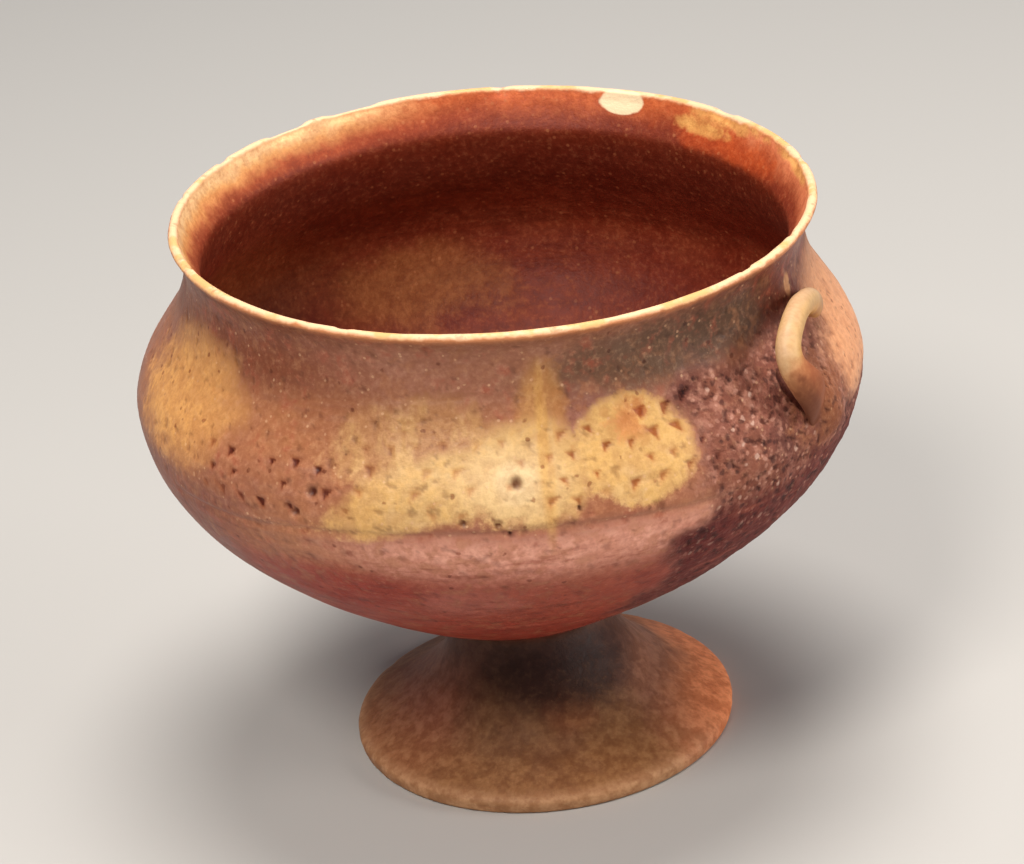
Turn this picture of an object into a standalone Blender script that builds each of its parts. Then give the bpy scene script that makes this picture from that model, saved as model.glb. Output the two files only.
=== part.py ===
"""Footed drinking cup of burnished clay, shaped by hand and fired as one piece.

A hollow round bowl with a short neck and a thin lip stands on a low trumpet foot and has
two small loop handles on its shoulder.  Lengths are in metres, +Z is up, the foot stands
on Z = 0, the bowl's widest ring is centred on the Z axis and the front is towards -Y.
"""

import math

import bmesh
import bpy
from mathutils import Matrix, Vector
from mathutils.geometry import interpolate_bezier

# Heights above the table and radii from the bowl's own centre line
HEIGHT = 0.1653
RIM_RADIUS = 0.0900
LIP_THICKNESS = 0.0034
NECK_HEIGHT = 0.1535
NECK_RADIUS = 0.0864
BELLY_HEIGHT = 0.1150
BELLY_RADIUS = 0.1026
STEM_HEIGHT = 0.0368
STEM_RADIUS = 0.0222
FOOT_RADIUS = 0.0556
FOOT_EDGE_HEIGHT = 0.0044

# Thickness of the clay
WALL = 0.0050
BOWL_FLOOR_RISE = 0.0108
HOLLOW_COVER = 0.0130
FOOT_WALL = 0.0056
FOOT_RING_WIDTH = 0.0050
EDGE_ROUNDING = 0.0016

# Loop handles: section across the middle of the loop, and how far its middle stands off
HANDLE_THICKNESS = 0.0066
HANDLE_REACH = 0.0125
HANDLE_TURNS = (60.0, 232.0)

# The hand-shaped bowl sits a little to the left of its foot and dips to the right
LEAN = 0.0087
DIP = 0.030
SETTLE_FROM = 0.020
SETTLE_TO = 0.060

RINGS_ROUND = 64
HANDLE_SIDES = 12
HANDLE_STEPS = 2

# Outer curve from the stem up to the belly, as (share of radius, share of height)
LOWER_CURVE = (
    (0.000, 0.000), (0.020, 0.036), (0.070, 0.066), (0.134, 0.095), (0.302, 0.196),
    (0.489, 0.324), (0.684, 0.474), (0.861, 0.654), (0.965, 0.833), (1.000, 1.000),
)
# Outer curve from the belly up to the neck: share of the way in, share of the way up
SHOULDER_CURVE = (
    (0.000, 0.000), (0.056, 0.130), (0.210, 0.286), (0.388, 0.405), (0.568, 0.519),
    (0.730, 0.625), (0.845, 0.727), (0.955, 0.875), (1.000, 1.000),
)
# Trumpet foot from its edge in to the stem: share of the way in, share of the way up
FOOT_CURVE = (
    (0.000, 0.000), (0.190, 0.105), (0.395, 0.215), (0.590, 0.365), (0.770, 0.555),
    (0.905, 0.765), (0.975, 0.905),
)
# One handle, root to root: share of the way from belly to neck, degrees of turn from
# the handle's middle line, share of the reach, shares of the thickness across and deep
HANDLE_PATH = (
    (0.570, 12.0, -0.17, 1.00, 0.72),
    (0.655, 9.6, 0.03, 1.04, 0.92),
    (0.755, 6.0, 0.22, 0.96, 0.92),
    (0.840, 1.2, 0.43, 0.92, 0.92),
    (0.892, -4.4, 0.66, 0.92, 0.95),
    (0.865, -9.2, 0.86, 0.98, 0.98),
    (0.785, -12.2, 0.98, 1.06, 1.00),
    (0.670, -12.8, 1.00, 1.20, 1.00),
    (0.540, -11.6, 0.94, 1.36, 0.98),
    (0.400, -9.0, 0.71, 1.56, 0.98),
    (0.250, -5.8, 0.38, 1.70, 0.98),
    (0.130, -3.4, 0.08, 1.66, 0.90),
    (0.040, -1.8, -0.17, 1.36, 0.70),
)


def smooth_share(value, start, end):
    share = min(max((value - start) / (end - start), 0.0), 1.0)
    return share * share * (3.0 - 2.0 * share)


def foot_offset():
    """Sideways place of the foot's centre, with the belly centred on the Z axis."""
    return LEAN * (1.0 - BELLY_HEIGHT / HEIGHT)


def settle(point):
    """Move a point of the true round form to where the hand-shaped cup has it."""
    bowl = smooth_share(point.z, SETTLE_FROM, SETTLE_TO)
    shift = foot_offset() - LEAN * (1.0 - point.z / HEIGHT) * bowl
    return Vector((point.x + shift, point.y, point.z - DIP * point.x * bowl))


def between(start, end, shares):
    return [
        (start[0] + (end[0] - start[0]) * across, start[1] + (end[1] - start[1]) * up)
        for across, up in shares
    ]


def lower_curve():
    return between((STEM_RADIUS, STEM_HEIGHT), (BELLY_RADIUS, BELLY_HEIGHT), LOWER_CURVE)


def shoulder_curve():
    return between((BELLY_RADIUS, BELLY_HEIGHT), (NECK_RADIUS, NECK_HEIGHT), SHOULDER_CURVE)


def foot_curve():
    edge = (FOOT_RADIUS - EDGE_ROUNDING, FOOT_EDGE_HEIGHT + EDGE_ROUNDING * 0.5)
    return between(edge, (STEM_RADIUS, STEM_HEIGHT), FOOT_CURVE)


def outer_radius(height):
    """Radius of the bowl's outside at a height between the stem and the neck."""
    curve = lower_curve() + shoulder_curve()[1:]
    for low, high in zip(curve, curve[1:]):
        if low[1] <= height <= high[1]:
            share = (height - low[1]) / (high[1] - low[1])
            return low[0] + (high[0] - low[0]) * share
    return NECK_RADIUS if height > NECK_HEIGHT else STEM_RADIUS


def offset_inwards(curve, thickness_at):
    """Inner side of a wall whose outside runs upwards along the curve."""
    inner = []
    for index, (radius, height) in enumerate(curve):
        before = curve[max(index - 1, 0)]
        after = curve[min(index + 1, len(curve) - 1)]
        run = Vector((after[0] - before[0], after[1] - before[1])).normalized()
        depth = thickness_at(height)
        inner.append((radius - run.y * depth, height + run.x * depth))
    return inner


def lip_curve():
    """Flare and round lip, from the outside of the neck over to the inside."""
    half = LIP_THICKNESS / 2.0
    centre = (RIM_RADIUS - half, HEIGHT - half)
    neck_inside = (NECK_RADIUS - WALL, NECK_HEIGHT)
    outside = [
        (NECK_RADIUS + (RIM_RADIUS - NECK_RADIUS) * across,
         NECK_HEIGHT + (centre[1] - NECK_HEIGHT) * up)
        for across, up in ((0.10, 0.36), (0.42, 0.68), (0.82, 0.90))
    ]
    edge = [
        (centre[0] + half * math.cos(math.radians(turn)),
         centre[1] + half * math.sin(math.radians(turn)))
        for turn in (0, 40, 80, 120, 160)
    ]
    inside = [
        (neck_inside[0] + (centre[0] - half - neck_inside[0]) * across,
         neck_inside[1] + (centre[1] - neck_inside[1]) * up)
        for across, up in ((0.66, 0.62), (0.28, 0.28), (0.0, 0.0))
    ]
    return outside + edge + inside


def bowl_inside():
    """Inside of the bowl from the neck down to the middle of its floor."""
    outside = lower_curve()[3:] + shoulder_curve()[1:-1]

    def thickness_at(height):
        return WALL * (1.0 + 0.25 * (1.0 - smooth_share(height, STEM_HEIGHT, BELLY_HEIGHT)))

    wall = offset_inwards(outside, thickness_at)
    wall.reverse()
    floor = STEM_HEIGHT + BOWL_FLOOR_RISE
    last = wall[-1]
    dish = [
        (last[0] * across, floor + (last[1] - floor) * up)
        for across, up in ((0.66, 0.44), (0.33, 0.11), (0.0, 0.0))
    ]
    return wall + dish


def foot_underside():
    """Hollow under the foot, from the middle of its ceiling out to the flat ring."""
    ceiling = STEM_HEIGHT - HOLLOW_COVER
    mouth = FOOT_RADIUS - EDGE_ROUNDING - FOOT_RING_WIDTH
    shares = ((0.0, 1.0), (0.30, 0.94), (0.52, 0.74), (0.70, 0.50), (0.86, 0.26), (1.0, 0.05))
    hollow = [(mouth * across, ceiling * up) for across, up in shares]
    return hollow + [(mouth, 0.0)]


def foot_edge():
    """Flat ring that the cup stands on and the rounded edge outside it."""
    ring = FOOT_RADIUS - EDGE_ROUNDING
    top = FOOT_EDGE_HEIGHT - EDGE_ROUNDING * 0.5
    return [
        (ring, 0.0),
        (FOOT_RADIUS - EDGE_ROUNDING * 0.3, EDGE_ROUNDING * 0.3),
        (FOOT_RADIUS, EDGE_ROUNDING),
        (FOOT_RADIUS, max(top, EDGE_ROUNDING * 1.2)),
        (FOOT_RADIUS - EDGE_ROUNDING * 0.4, FOOT_EDGE_HEIGHT + EDGE_ROUNDING * 0.1),
    ]


def cup_outline():
    outside = foot_edge() + foot_curve() + lower_curve() + shoulder_curve()[1:]
    return foot_underside() + outside + lip_curve() + bowl_inside()


def link_mesh(name, built):
    mesh = bpy.data.meshes.new(name)
    built.to_mesh(mesh)
    built.free()
    thing = bpy.data.objects.new(name, mesh)
    bpy.context.scene.collection.objects.link(thing)
    return thing


def revolve(outline):
    """Closed solid of an outline whose first and last points lie on the centre line."""
    built = bmesh.new()
    rings = []
    for radius, height in outline:
        if radius < 1e-6:
            rings.append([built.verts.new(settle(Vector((0.0, 0.0, height))))])
            continue
        ring = []
        for step in range(RINGS_ROUND):
            turn = 2.0 * math.pi * step / RINGS_ROUND
            place = Vector((radius * math.cos(turn), radius * math.sin(turn), height))
            ring.append(built.verts.new(settle(place)))
        rings.append(ring)
    for ring, following in zip(rings, rings[1:]):
        for step in range(RINGS_ROUND):
            after = (step + 1) % RINGS_ROUND
            if len(ring) == 1:
                built.faces.new((ring[0], following[after], following[step]))
            elif len(following) == 1:
                built.faces.new((ring[step], ring[after], following[0]))
            else:
                built.faces.new((ring[step], ring[after], following[after], following[step]))
    bmesh.ops.recalc_face_normals(built, faces=built.faces)
    return built


def handle_stations(middle_turn):
    """Centre points with half width and half depth along one handle, root to root."""
    stations = []
    for up, turn, reach, wide, deep in HANDLE_PATH:
        height = BELLY_HEIGHT + (NECK_HEIGHT - BELLY_HEIGHT) * up
        radius = outer_radius(height) + HANDLE_REACH * reach
        angle = math.radians(middle_turn + turn)
        place = Vector((radius * math.sin(angle), -radius * math.cos(angle), height))
        half = HANDLE_THICKNESS / 2.0
        stations.append((place, Vector((half * wide, half * deep))))
    return stations


def smooth_path(stations):
    """Points of a smooth curve through the stations, with their sections."""
    places = [place for place, section in stations]
    path = []
    for index in range(len(stations) - 1):
        start = places[index]
        end = places[index + 1]
        before = places[max(index - 1, 0)]
        after = places[min(index + 2, len(places) - 1)]
        curve = interpolate_bezier(
            start, start + (end - before) / 6.0, end - (after - start) / 6.0, end, HANDLE_STEPS + 1
        )
        for step in range(HANDLE_STEPS):
            share = step / HANDLE_STEPS
            section = stations[index][1].lerp(stations[index + 1][1], share)
            path.append((curve[step], section))
    path.append(stations[-1])
    return path


def handle(middle_turn):
    """Closed round band from one root to the other."""
    path = smooth_path(handle_stations(middle_turn))
    built = bmesh.new()
    outwards = Matrix.Rotation(math.radians(middle_turn), 3, "Z") @ Vector((0.0, -1.0, 0.0))
    side = None
    rings = []
    for index, (place, section) in enumerate(path):
        before = path[max(index - 1, 0)][0]
        after = path[min(index + 1, len(path) - 1)][0]
        along = (after - before).normalized()
        if side is None:
            side = along.cross(outwards).normalized()
        side = (side - along * side.dot(along)).normalized()
        across = along.cross(side)
        ring = []
        for step in range(HANDLE_SIDES):
            turn = 2.0 * math.pi * step / HANDLE_SIDES
            wide = side * math.cos(turn) * section.x
            deep = across * math.sin(turn) * section.y
            ring.append(built.verts.new(settle(place + wide + deep)))
        rings.append(ring)
    for ring, following in zip(rings, rings[1:]):
        for step in range(HANDLE_SIDES):
            after = (step + 1) % HANDLE_SIDES
            built.faces.new((ring[step], ring[after], following[after], following[step]))
    built.faces.new(list(reversed(rings[0])))
    built.faces.new(rings[-1])
    bmesh.ops.recalc_face_normals(built, faces=built.faces)
    return built


def join(body, added):
    """Make the added solid one with the body."""
    union = body.modifiers.new("Join", "BOOLEAN")
    union.operation = "UNION"
    union.solver = "EXACT"
    union.object = added
    evaluated = body.evaluated_get(bpy.context.evaluated_depsgraph_get())
    mesh = bpy.data.meshes.new_from_object(evaluated)
    body.modifiers.clear()
    old = body.data
    body.data = mesh
    mesh.name = body.name
    bpy.data.meshes.remove(old)
    bpy.data.objects.remove(added, do_unlink=True)


def main():
    for thing in list(bpy.data.objects):
        bpy.data.objects.remove(thing, do_unlink=True)
    cup = link_mesh("cup", revolve(cup_outline()))
    for turn in HANDLE_TURNS:
        join(cup, link_mesh("handle", handle(turn)))
    for face in cup.data.polygons:
        face.use_smooth = True
    cup.data.set_sharp_from_angle(angle=math.radians(50.0))


main()
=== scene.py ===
"""Hand-shaped footed cup with loop handles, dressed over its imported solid."""

import math
from functools import partial

import bmesh
import bpy
import numpy as np
from bpy.props import FloatProperty, FloatVectorProperty, PointerProperty
from mathutils import Matrix, Vector, noise


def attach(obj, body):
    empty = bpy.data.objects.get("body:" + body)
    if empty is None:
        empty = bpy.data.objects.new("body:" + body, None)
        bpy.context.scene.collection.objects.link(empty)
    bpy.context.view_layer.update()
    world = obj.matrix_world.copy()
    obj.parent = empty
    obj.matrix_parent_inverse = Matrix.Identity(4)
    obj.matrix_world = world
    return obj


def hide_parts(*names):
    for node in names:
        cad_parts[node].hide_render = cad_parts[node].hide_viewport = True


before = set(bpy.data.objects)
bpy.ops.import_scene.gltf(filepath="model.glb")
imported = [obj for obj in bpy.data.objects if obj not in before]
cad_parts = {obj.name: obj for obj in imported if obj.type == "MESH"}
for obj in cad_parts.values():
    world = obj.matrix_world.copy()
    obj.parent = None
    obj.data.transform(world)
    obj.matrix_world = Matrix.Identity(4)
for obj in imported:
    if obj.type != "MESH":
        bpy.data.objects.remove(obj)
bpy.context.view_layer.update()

bl_info = {
    "name": "Footed loop-handled cup",
    "version": (1, 0, 0),
    "blender": (4, 5, 0),
    "location": "3D View > Sidebar > Cup",
    "description": "Builds the worn surface of a hand-shaped footed cup and its stage",
    "category": "Object",
}

# Shape of the solid, in metres, as its own source states it
HEIGHT = 0.1653
RIM_RADIUS = 0.0900
LIP_THICKNESS = 0.0034
NECK_HEIGHT = 0.1535
NECK_RADIUS = 0.0864
BELLY_HEIGHT = 0.1150
BELLY_RADIUS = 0.1026
STEM_HEIGHT = 0.0368
STEM_RADIUS = 0.0222
FOOT_RADIUS = 0.0556
FOOT_EDGE_HEIGHT = 0.0044
WALL = 0.0050
BOWL_FLOOR_RISE = 0.0108
HOLLOW_COVER = 0.0130
FOOT_RING_WIDTH = 0.0050
EDGE_ROUNDING = 0.0016
HANDLE_THICKNESS = 0.0066
HANDLE_REACH = 0.0125
HANDLE_TURNS = (60.0, 232.0)
LEAN = 0.0087
DIP = 0.030
SETTLE_FROM = 0.020
SETTLE_TO = 0.060

# Millimetres in a metre, radians in a degree, and the distance from the axis, in
# millimetres, at which the turns of drawn lines and spots are taken as lengths
MM = 1000.0
DEGREE = math.pi / 180.0
DRAWING_REACH = 100.0

# Outer curves, as (share of the way across, share of the way up): stem to belly, belly
# to neck, and foot edge to stem
LOWER_CURVE = (
    (0.000, 0.000), (0.020, 0.036), (0.070, 0.066), (0.134, 0.095), (0.302, 0.196),
    (0.489, 0.324), (0.684, 0.474), (0.861, 0.654), (0.965, 0.833), (1.000, 1.000),
)
SHOULDER_CURVE = (
    (0.000, 0.000), (0.056, 0.130), (0.210, 0.286), (0.388, 0.405), (0.568, 0.519),
    (0.730, 0.625), (0.845, 0.727), (0.955, 0.875), (1.000, 1.000),
)
FOOT_CURVE = (
    (0.000, 0.000), (0.190, 0.105), (0.395, 0.215), (0.590, 0.365), (0.770, 0.555),
    (0.905, 0.765), (0.975, 0.905),
)
# One handle, root to root: share of the way from belly to neck, degrees of turn from its
# middle line, share of the reach, shares of the thickness across and deep
HANDLE_PATH = (
    (0.570, 12.0, -0.17, 1.00, 0.72),
    (0.655, 9.6, 0.03, 1.04, 0.92),
    (0.755, 6.0, 0.22, 0.96, 0.92),
    (0.840, 1.2, 0.43, 0.92, 0.92),
    (0.892, -4.4, 0.66, 0.92, 0.95),
    (0.865, -9.2, 0.86, 0.98, 0.98),
    (0.785, -12.2, 0.98, 1.06, 1.00),
    (0.670, -12.8, 1.00, 1.20, 1.00),
    (0.540, -11.6, 0.94, 1.36, 0.98),
    (0.400, -9.0, 0.71, 1.56, 0.98),
    (0.250, -5.8, 0.38, 1.70, 0.98),
    (0.130, -3.4, 0.08, 1.66, 0.90),
    (0.040, -1.8, -0.17, 1.36, 0.70),
)

# Camera fitted to the photograph: focal length in pixels of an image this wide, its
# place in metres and its turns in degrees
IMAGE_WIDTH = 1024
FOCAL_PIXELS = 3633.0
CAMERA_PLACE = (0.0026, -0.9300, 0.5489)
CAMERA_PITCH = 26.087
CAMERA_YAW = -0.069
CAMERA_ROLL = -6.053
SENSOR_WIDTH = 36.0

FLOOR_HALF = 3.0
FLOOR_COLOUR = (0.50, 0.485, 0.46, 1.0)
SKY_COLOUR = (0.9, 0.93, 1.0, 1.0)
SKY_STRENGTH = 0.20
LIGHT_AIM = (0.0, 0.0, 0.08)
# Soft lights: name, place, width, power and tint
LIGHTS = (
    ("key", (-0.45, -0.95, 1.35), 0.5, 18.0, (1.0, 0.95, 0.89)),
    ("top", (0.1, 0.15, 1.5), 0.8, 20.0, (1.0, 0.96, 0.92)),
    ("fill", (1.3, -0.3, 0.5), 0.6, 9.0, (1.0, 0.95, 0.90)),
)

# Heights in millimetres at which the mesh of the body changes its fineness
NECK_ZONE = 150.0
SHOULDER_ZONE = 107.0
STEM_ZONE = 40.0
EDGE_ZONE = 6.0


def smooth_share(value, start, end):
    share = np.clip((value - start) / (end - start), 0.0, 1.0)
    return share * share * (3.0 - 2.0 * share)


def foot_offset():
    return LEAN * (1.0 - BELLY_HEIGHT / HEIGHT)


def between(start, end, shares):
    return [
        (start[0] + (end[0] - start[0]) * across, start[1] + (end[1] - start[1]) * up)
        for across, up in shares
    ]


def lower_curve():
    return between((STEM_RADIUS, STEM_HEIGHT), (BELLY_RADIUS, BELLY_HEIGHT), LOWER_CURVE)


def shoulder_curve():
    return between((BELLY_RADIUS, BELLY_HEIGHT), (NECK_RADIUS, NECK_HEIGHT), SHOULDER_CURVE)


def foot_curve():
    edge = (FOOT_RADIUS - EDGE_ROUNDING, FOOT_EDGE_HEIGHT + EDGE_ROUNDING * 0.5)
    return between(edge, (STEM_RADIUS, STEM_HEIGHT), FOOT_CURVE)


def outer_radius(height):
    """Radius of the bowl's outside at a height between the stem and the neck."""
    curve = lower_curve() + shoulder_curve()[1:]
    radii = [point[0] for point in curve]
    heights = [point[1] for point in curve]
    return np.interp(height, heights, radii)


def lip_curve():
    """Flare and round lip, from the outside of the neck over to the inside."""
    half = LIP_THICKNESS / 2.0
    centre = (RIM_RADIUS - half, HEIGHT - half)
    outside = between((NECK_RADIUS, NECK_HEIGHT), (RIM_RADIUS, centre[1]),
                      ((0.10, 0.36), (0.42, 0.68), (0.82, 0.90)))
    edge = [
        (centre[0] + half * math.cos(math.radians(turn)),
         centre[1] + half * math.sin(math.radians(turn)))
        for turn in (0, 30, 60, 90, 120, 150, 170)
    ]
    inside = between((NECK_RADIUS - WALL, NECK_HEIGHT), (centre[0] - half, centre[1]),
                     ((0.66, 0.62), (0.28, 0.28), (0.0, 0.0)))
    return outside, edge, inside


def bowl_inside():
    """Inside of the bowl from the neck down to the middle of its floor."""
    outside = np.array(lower_curve()[3:] + shoulder_curve()[1:-1])
    run = np.gradient(outside, axis=0)
    run /= np.linalg.norm(run, axis=1)[:, None]
    depth = WALL * (1.0 + 0.25 * (1.0 - smooth_share(outside[:, 1], STEM_HEIGHT, BELLY_HEIGHT)))
    inner = np.stack([outside[:, 0] - run[:, 1] * depth, outside[:, 1] + run[:, 0] * depth], -1)
    wall = [tuple(point) for point in inner[::-1]]
    floor = STEM_HEIGHT + BOWL_FLOOR_RISE
    last = wall[-1]
    dish = [
        (last[0] * across, floor + (last[1] - floor) * up)
        for across, up in ((0.66, 0.44), (0.33, 0.11), (0.0, 0.0))
    ]
    return wall + dish


def foot_underside():
    ceiling = STEM_HEIGHT - HOLLOW_COVER
    mouth = FOOT_RADIUS - EDGE_ROUNDING - FOOT_RING_WIDTH
    shares = ((0.0, 1.0), (0.30, 0.94), (0.52, 0.74), (0.70, 0.50), (0.86, 0.26), (1.0, 0.05))
    return [(mouth * across, ceiling * up) for across, up in shares] + [(mouth, 0.0)]


def foot_edge():
    ring = FOOT_RADIUS - EDGE_ROUNDING
    top = FOOT_EDGE_HEIGHT - EDGE_ROUNDING * 0.5
    return [
        (ring, 0.0),
        (FOOT_RADIUS - EDGE_ROUNDING * 0.3, EDGE_ROUNDING * 0.3),
        (FOOT_RADIUS, EDGE_ROUNDING),
        (FOOT_RADIUS, top),
        (FOOT_RADIUS - EDGE_ROUNDING * 0.4, FOOT_EDGE_HEIGHT + EDGE_ROUNDING * 0.1),
    ]


def cup_outline():
    """The whole section, from the middle of the bowl's floor over the lip to under the foot."""
    outside, edge, inside = lip_curve()
    shoulder = shoulder_curve()
    lower = lower_curve()
    up_inside = bowl_inside()[::-1] + inside[::-1]
    over_lip = edge[::-1]
    down_outside = outside[::-1] + shoulder[::-1] + lower[::-1][1:]
    over_foot = foot_curve()[::-1][:-1] + foot_edge()[::-1]
    under = foot_underside()[::-1]
    return up_inside + over_lip + down_outside + over_foot + under


def drawn_between(low, high, start, end, at):
    """Points on the line from low to high, by where `at` lies from start to end."""
    return (end - at) / (end - start) * low + (at - start) / (end - start) * high


def smooth_outline(points, steps=24):
    """Dense points of the smooth curve through the section's points."""
    points = np.array(points)
    ends = np.concatenate([[points[1] * (-1, 1)], points, [points[-2] * (-1, 1)]])
    share = np.linspace(0.0, 1.0, steps, endpoint=False)[:, None]
    pieces = []
    for index in range(1, len(ends) - 2):
        level = ends[index - 1:index + 3]
        knots = [0.0]
        for low, high in zip(level, level[1:]):
            knots.append(knots[-1] + max(np.linalg.norm(high - low), 1e-6) ** 0.5)
        at = knots[1] + (knots[2] - knots[1]) * share
        # Three lines, then the two curves between them; the last step joins those two
        for reach in (1, 2):
            level = [
                drawn_between(level[i], level[i + 1], knots[i], knots[i + reach], at)
                for i in range(4 - reach)
            ]
        pieces.append(drawn_between(level[0], level[1], knots[1], knots[2], at))
    dense = np.concatenate(pieces + [points[-1:]])
    dense[:, 0] = np.maximum(dense[:, 0], 0.0)
    dense[:, 1] = np.maximum(dense[:, 1], 0.0)
    return dense


def row_spacing(arc, rise, under):
    """How far apart the mesh rows stand, in millimetres, by place on the section."""
    if arc < under:
        return 3.0
    if abs(arc) < 4.0:
        return 0.45
    if arc > 0.0:
        return 1.2 if rise > NECK_ZONE else 2.6
    if rise > NECK_ZONE - 1.0:
        return 0.9
    if rise > SHOULDER_ZONE + 1.0:
        return 0.66
    if rise > STEM_ZONE:
        return 1.7
    return 1.5 if rise > EDGE_ZONE else 0.7


def columns_round(arc, rise, under):
    """How many mesh columns go round at a place, and how much closer they stand in front."""
    if arc < under:
        return 120, 1.0
    if arc > 5.0:
        return (288, 1.0) if rise > NECK_ZONE else (168, 1.0)
    if rise > NECK_ZONE:
        return 480, 1.6
    if rise > SHOULDER_ZONE:
        return 560, 2.4
    return (288, 1.7) if rise > STEM_ZONE else (192, 1.2)


def column_turns(count, front):
    """Turns in degrees of the columns, closer together on the front half."""
    fine = np.linspace(-180.0, 180.0, 1441)
    density = 1.0 + (front - 1.0) * smooth_share(np.abs(fine), 112.0, 84.0)
    total = np.concatenate([[0.0], np.cumsum((density[1:] + density[:-1]) / 2.0)])
    return np.interp(np.arange(count) / count * total[-1], total, fine)


def section_rows():
    """Rows of the section: radius, height, outward direction and path length from the lip."""
    dense = smooth_outline(cup_outline()) * MM
    length = np.concatenate([[0.0], np.cumsum(np.linalg.norm(np.diff(dense, axis=0), axis=1))])
    arc = length[np.argmax(dense[:, 1])] - length
    under = arc[np.nonzero(dense[:, 1] < 1e-6)[0][-1]]
    rate = np.array([1.0 / row_spacing(a, z, under) for a, z in zip(arc, dense[:, 1])])
    count = np.concatenate([[0.0], np.cumsum((rate[1:] + rate[:-1]) / 2.0 * np.diff(length))])
    steps = np.linspace(0.0, count[-1], int(round(count[-1])) + 1)
    at = np.interp(steps, count, length)
    places = np.stack([np.interp(at, length, dense[:, axis]) for axis in (0, 1)], -1)
    run = np.gradient(places, axis=0)
    run /= np.linalg.norm(run, axis=1)[:, None]
    out = np.stack([-run[:, 1], run[:, 0]], -1)
    out[0] = (0.0, 1.0)
    out[-1] = (0.0, -1.0)
    return places, out, np.interp(at, length, arc), under


def zip_rows(low, high, low_turns, high_turns):
    """Faces between two closed rows of points, which may have different numbers of columns."""
    if len(low) == len(high):
        after = np.roll(np.arange(len(low)), -1)
        return [
            (low[i], low[after[i]], high[after[i]], high[i]) for i in range(len(low))
        ]
    faces = []
    i = j = 0
    while i < len(low) or j < len(high):
        next_low = low_turns[i + 1] if i + 1 < len(low) else low_turns[0] + 360.0
        next_high = high_turns[j + 1] if j + 1 < len(high) else high_turns[0] + 360.0
        if j >= len(high) or (i < len(low) and next_low <= next_high):
            faces.append((low[i % len(low)], low[(i + 1) % len(low)], high[j % len(high)]))
            i += 1
        else:
            faces.append((low[i % len(low)], high[(j + 1) % len(high)], high[j % len(high)]))
            j += 1
    return faces


def grain(places, size, seed, octaves=3):
    """Soft noise from about -1 to 1 at each place, with features of this size in millimetres."""
    shift = Vector((seed * 17.3, seed * 5.1, seed * 9.7))
    return np.array([
        noise.fractal(Vector(place) / size + shift, 1.0, 2.0, octaves,
                      noise_basis="PERLIN_ORIGINAL")
        for place in places
    ])


def turned_from(turn, middle):
    """Turn from a middle line, between -180 and 180 degrees."""
    return (turn - middle + 180.0) % 360.0 - 180.0


def window(value, rise_from, rise_to, fall_from, fall_to):
    """1 inside a stretch and 0 outside it, with soft ends."""
    return smooth_share(value, rise_from, rise_to) * (1.0 - smooth_share(value, fall_from, fall_to))


def stroke_depth(turn, rise, line, half_width):
    """1 on a line of (turn, height in cm) points, falling to 0 at its half width in mm."""
    nearest = np.full(len(turn), 1e9)
    scale = DEGREE * DRAWING_REACH
    for (turn_a, rise_a), (turn_b, rise_b) in zip(line, line[1:]):
        ax, ay, bx, by = turn_a * scale, rise_a * 10.0, turn_b * scale, rise_b * 10.0
        px, py = turn * scale, rise
        run = max((bx - ax) ** 2 + (by - ay) ** 2, 1e-9)
        share = np.clip(((px - ax) * (bx - ax) + (py - ay) * (by - ay)) / run, 0.0, 1.0)
        gap = np.hypot(px - ax - share * (bx - ax), py - ay - share * (by - ay))
        nearest = np.minimum(nearest, gap)
    return 1.0 - smooth_share(nearest, half_width * 0.25, half_width)


def spot_depth(turn, rise, centre, radius):
    """1 in the middle of a round dent at (turn, height in cm), 0 outside its radius in mm."""
    across = (turn - centre[0]) * DEGREE * DRAWING_REACH
    gap = np.hypot(across, rise - centre[1] * 10.0)
    return 1.0 - smooth_share(gap, radius * 0.25, radius)


class Value:
    """A number in a node tree; sums on it add Math nodes to that tree."""

    def __init__(self, tree, socket):
        self.tree = tree
        self.socket = socket

    def math(self, operation, *terms, clamp=False):
        return math_of(self.tree, operation, self, *terms, clamp=clamp)

    def __add__(self, other):
        return self.math("ADD", other)

    __radd__ = __add__

    def __sub__(self, other):
        return self.math("SUBTRACT", other)

    def __rsub__(self, other):
        return math_of(self.tree, "SUBTRACT", other, self)

    def __mul__(self, other):
        return self.math("MULTIPLY", other)

    __rmul__ = __mul__

    def __truediv__(self, other):
        return self.math("DIVIDE", other)

    def __rtruediv__(self, other):
        return math_of(self.tree, "DIVIDE", other, self)

    def __neg__(self):
        return self.math("MULTIPLY", -1.0)

    def __abs__(self):
        return self.math("ABSOLUTE")

    def floor(self):
        return self.math("FLOOR")

    def clamped(self):
        return self.math("ADD", 0.0, clamp=True)

    def larger(self, other):
        return self.math("MAXIMUM", other)

    def ramp(self, start, end):
        """0 at the start and 1 at the end, smooth between; start may be the larger."""
        made = node(self.tree, "ShaderNodeMapRange", {0: self, 1: start, 2: end},
                    interpolation_type="SMOOTHSTEP")
        return Value(self.tree, made.outputs[0])


def node(tree, kind, sockets=None, **settings):
    """A node with its settings made first, then the values or links of its sockets."""
    made = tree.nodes.new(kind)
    for name, value in settings.items():
        setattr(made, name, value)
    for key, value in (sockets or {}).items():
        value = getattr(value, "socket", value)
        if isinstance(value, bpy.types.NodeSocket):
            tree.links.new(value, made.inputs[key])
        else:
            made.inputs[key].default_value = value
    return made


def math_of(tree, operation, *terms, clamp=False):
    made = node(tree, "ShaderNodeMath", dict(enumerate(terms)), operation=operation,
                use_clamp=clamp)
    return Value(tree, made.outputs[0])


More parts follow.
